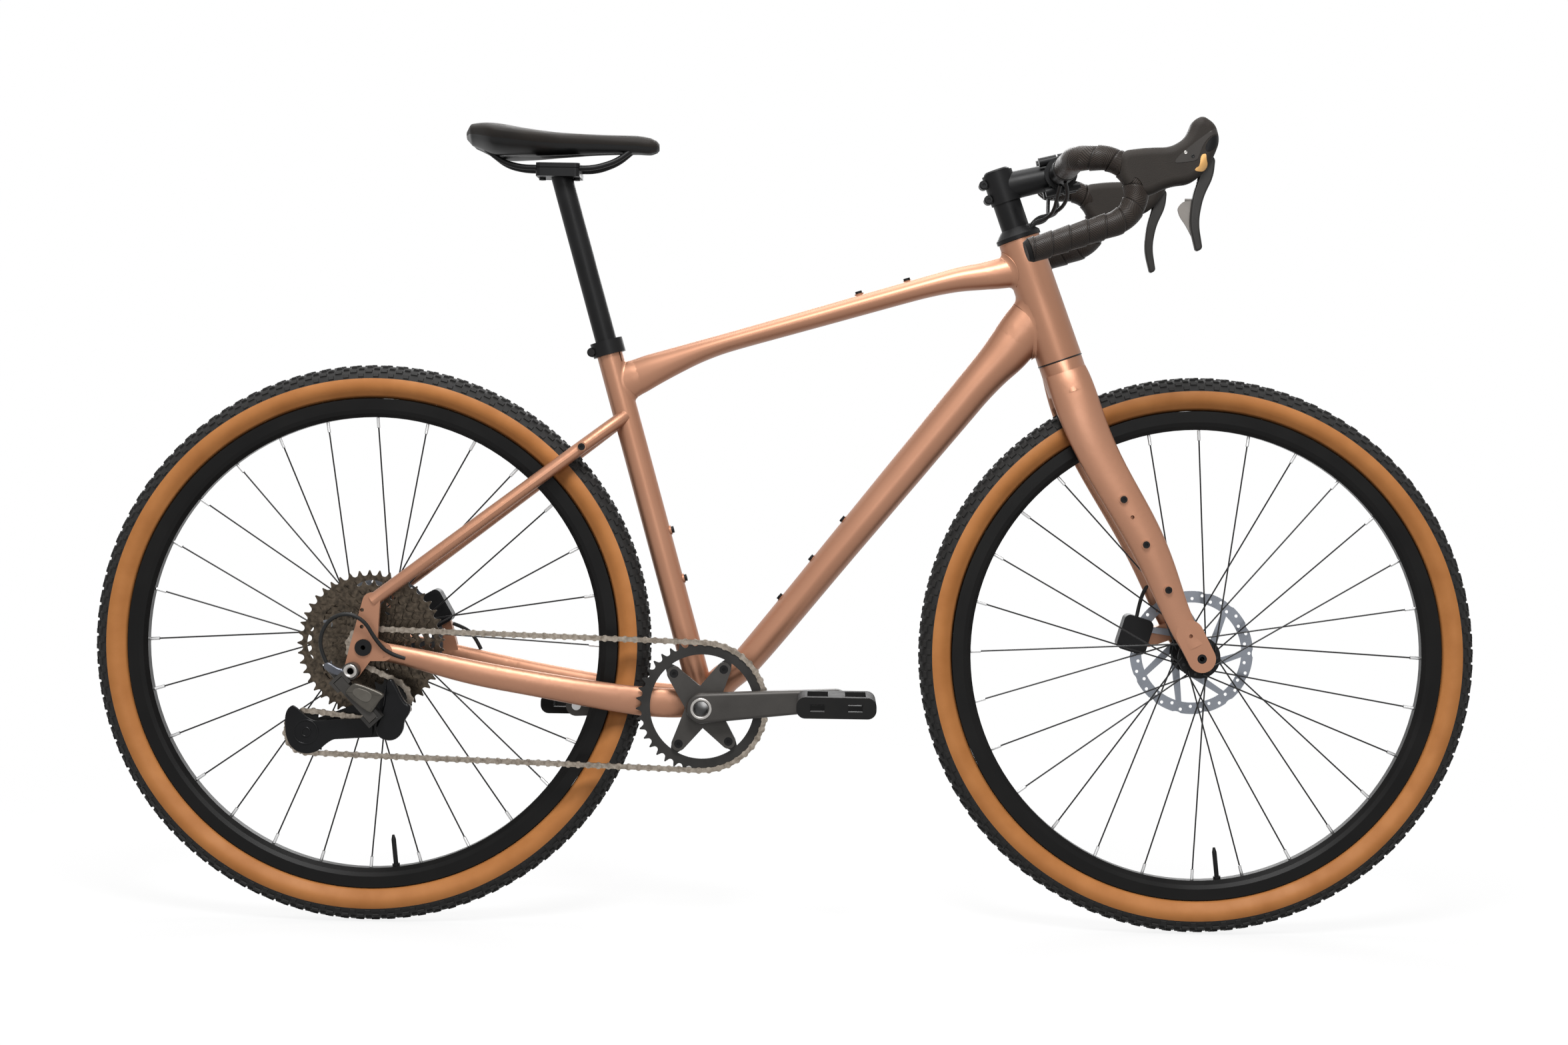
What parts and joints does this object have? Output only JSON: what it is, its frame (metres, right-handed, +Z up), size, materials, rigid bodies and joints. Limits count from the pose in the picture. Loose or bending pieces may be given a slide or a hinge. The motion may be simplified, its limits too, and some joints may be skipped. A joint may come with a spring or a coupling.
{
  "type": "gravel bike",
  "caption": "Drop-bar gravel bicycle with a copper-painted diamond frame, tan-wall tyres, disc brakes and a single-ring chain drive.",
  "frame": {"origin": "centre of the bottom-bracket shell, midway between the crank arms", "axes": "+X to the front of the bike, +Y to its left side, +Z up"},
  "size_m": [1.7665, 0.4892, 1.0237],
  "materials": {
    "frame_paint": "satin metallic",
    "black_metal": "satin",
    "steel": "brushed",
    "hose": "matt",
    "chain_steel": "dull",
    "dark_grey_metal": "satin",
    "grey_metal": "satin",
    "bar_tape": "matt, grooved",
    "black_plastic": "matt",
    "hood_rubber": "matt",
    "pad": "matt",
    "tyre": "matt tread with tan sidewalls",
    "rim_black": "satin",
    "spoke_black": "black",
    "rotor_steel": "ground",
    "sprocket_steel": "dark nickel",
    "saddle_cover": "matt"
  },
  "bodies": {
    "frame_assembly": {"frame": "frame_paint", "seat_clamp": "black_metal", "frame_bolts": "black_metal", "headset_bearings": "steel", "bottom_bracket_cups": "black_metal", "rear_thru_axle": "black_metal", "rear_caliper": "black_metal", "frame_cables": "hose", "chain": "chain_steel", "derailleur_base": "dark_grey_metal"},
    "steering": {"fork": "frame_paint", "headset_stack": "black_metal", "stem": "black_metal", "stem_faceplate": "black_metal", "steering_bolts": "black_metal", "handlebar": "black_metal", "right_bar_tape": "bar_tape", "left_bar_tape": "bar_tape", "bar_end_plugs": "black_plastic", "right_hood": "hood_rubber", "left_hood": "hood_rubber", "front_thru_axle": "black_metal", "front_caliper": "black_metal", "control_cables": "hose"},
    "front_wheel": {"front_tyre": "tyre", "front_rim": "rim_black", "front_spokes": "spoke_black", "front_hub": "black_metal", "front_rotor": "rotor_steel", "front_valve": "black_metal"},
    "rear_wheel": {"rear_tyre": "tyre", "rear_rim": "rim_black", "rear_spokes": "spoke_black", "rear_hub": "black_metal", "rear_rotor": "rotor_steel", "rear_valve": "black_metal"},
    "cassette_stack": {"cassette": "sprocket_steel"},
    "crankset": {"right_crank": "dark_grey_metal", "left_crank": "dark_grey_metal", "chainring": "black_metal", "chainring_bolts": "grey_metal", "pedal_axles": "steel"},
    "right_pedal_body": {"right_pedal": "black_plastic"},
    "left_pedal_body": {"left_pedal": "black_plastic"},
    "right_lever": {"right_brake_lever": "black_metal"},
    "left_lever": {"left_brake_lever": "black_metal"},
    "paddle": {"shift_paddle": "grey_metal"},
    "front_right_pad_body": {"front_right_pad": "pad"},
    "front_left_pad_body": {"front_left_pad": "pad"},
    "rear_right_pad_body": {"rear_right_pad": "pad"},
    "rear_left_pad_body": {"rear_left_pad": "pad"},
    "outer_link": {"derailleur_outer_link": "dark_grey_metal"},
    "inner_link": {"derailleur_inner_link": "dark_grey_metal"},
    "knuckle": {"derailleur_knuckle": "dark_grey_metal"},
    "cage": {"derailleur_cage": "black_metal"},
    "guide_wheel": {"guide_pulley": "black_plastic"},
    "tension_wheel": {"tension_pulley": "black_plastic"},
    "seat": {"seatpost": "black_metal", "saddle": "saddle_cover", "saddle_rails": "black_metal"}
  },
  "joints": [
    {"name": "steering_turn", "type": "hinge", "parent": "frame_assembly", "child": "steering", "pos_m": [0.396, 0, 0.601], "axis": [-0.3338, 0, 0.9426], "range_deg": [-55, 55], "stiffness_Nm_per_rad": 3},
    {"name": "front_wheel_spin", "type": "hinge", "parent": "steering", "child": "front_wheel", "pos_m": [0.63036, 0, 0.071], "axis": [0, 1, 0], "continuous": true},
    {"name": "rear_wheel_spin", "type": "hinge", "parent": "frame_assembly", "child": "rear_wheel", "pos_m": [-0.4241, 0, 0.071], "axis": [0, 1, 0], "continuous": true},
    {"name": "crank_spin", "type": "hinge", "parent": "frame_assembly", "child": "crankset", "pos_m": [0, 0, 0], "axis": [0, 1, 0], "continuous": true, "deforming": ["chain"]},
    {"name": "cassette_spin", "type": "hinge", "parent": "frame_assembly", "child": "cassette_stack", "pos_m": [-0.4241, 0, 0.071], "axis": [0, 1, 0], "continuous": true},
    {"name": "right_pedal_spin", "type": "hinge", "parent": "crankset", "child": "right_pedal_body", "pos_m": [0.16948, 0, 0.01334], "axis": [0, 1, 0], "continuous": true},
    {"name": "left_pedal_spin", "type": "hinge", "parent": "crankset", "child": "left_pedal_body", "pos_m": [-0.16948, 0, -0.01334], "axis": [0, 1, 0], "continuous": true},
    {"name": "right_brake", "type": "hinge", "parent": "steering", "child": "right_lever", "pos_m": [0.60443, -0.21347, 0.68501], "axis": [0, 1, 0], "range_deg": [0, 18], "stiffness_Nm_per_rad": 2},
    {"name": "left_brake", "type": "hinge", "parent": "steering", "child": "left_lever", "pos_m": [0.60443, 0.21347, 0.68501], "axis": [0, 1, 0], "range_deg": [0, 18], "stiffness_Nm_per_rad": 2},
    {"name": "paddle_swing", "type": "hinge", "parent": "right_lever", "child": "paddle", "pos_m": [0.59283, -0.20557, 0.63629], "axis": [1, 0, 0], "range_deg": [0, 12], "stiffness_Nm_per_rad": 0.3},
    {"name": "front_right_pad_slide", "type": "slide", "parent": "steering", "child": "front_right_pad_body", "axis": [0, 1, 0], "range_m": [0, 0.00028]},
    {"name": "front_left_pad_slide", "type": "slide", "parent": "steering", "child": "front_left_pad_body", "axis": [0, -1, 0], "range_m": [0, 0.00028]},
    {"name": "rear_right_pad_slide", "type": "slide", "parent": "frame_assembly", "child": "rear_right_pad_body", "axis": [0, 1, 0], "range_m": [0, 0.00028]},
    {"name": "rear_left_pad_slide", "type": "slide", "parent": "frame_assembly", "child": "rear_left_pad_body", "axis": [0, -1, 0], "range_m": [0, 0.00028]},
    {"name": "derailleur_shift", "type": "hinge", "parent": "frame_assembly", "child": "outer_link", "pos_m": [-0.4471, -0.097, 0.027], "axis": [0.7348, 0, 0.6783], "range_deg": [0, 24], "stiffness_Nm_per_rad": 1},
    {"name": "inner_link_swing", "type": "hinge", "parent": "frame_assembly", "child": "inner_link", "pos_m": [-0.4471, -0.083, 0.027], "axis": [0.7348, 0, 0.6783], "range_deg": [0, 24]},
    {"name": "knuckle_swing", "type": "hinge", "parent": "outer_link", "child": "knuckle", "pos_m": [-0.4111, -0.097, -0.012], "axis": [0.7348, 0, 0.6783], "range_deg": [-24, 0]},
    {"name": "cage_swing", "type": "hinge", "parent": "knuckle", "child": "cage", "pos_m": [-0.3931, -0.0615, -0.03], "axis": [0, -1, 0], "range_deg": [0, 60]},
    {"name": "guide_pulley_spin", "type": "hinge", "parent": "cage", "child": "guide_wheel", "pos_m": [-0.39373, -0.0615, 0.00299], "axis": [0, 1, 0], "continuous": true},
    {"name": "tension_pulley_spin", "type": "hinge", "parent": "cage", "child": "tension_wheel", "pos_m": [-0.49683, -0.0615, -0.03742], "axis": [0, 1, 0], "continuous": true},
    {"name": "seatpost_height", "type": "slide", "parent": "frame_assembly", "child": "seat", "axis": [-0.2756, 0, 0.9613], "range_m": [-0.06, 0.015]}
  ],
  "couplings": [
    {"joint": "cassette_spin", "follows": "crank_spin", "ratio": 3.6364},
    {"joint": "guide_pulley_spin", "follows": "crank_spin", "ratio": -3.0769},
    {"joint": "tension_pulley_spin", "follows": "crank_spin", "ratio": 3.0769},
    {"joint": "inner_link_swing", "follows": "derailleur_shift", "ratio": 1},
    {"joint": "knuckle_swing", "follows": "derailleur_shift", "ratio": -1},
    {"joint": "cage_swing", "follows": "derailleur_shift", "ratio": 2.5},
    {"joint": "front_right_pad_slide", "follows": "left_brake", "m_per_rad": 0.00088681},
    {"joint": "front_left_pad_slide", "follows": "left_brake", "m_per_rad": 0.00088681},
    {"joint": "rear_right_pad_slide", "follows": "right_brake", "m_per_rad": 0.00088681},
    {"joint": "rear_left_pad_slide", "follows": "right_brake", "m_per_rad": 0.00088681}
  ]
}
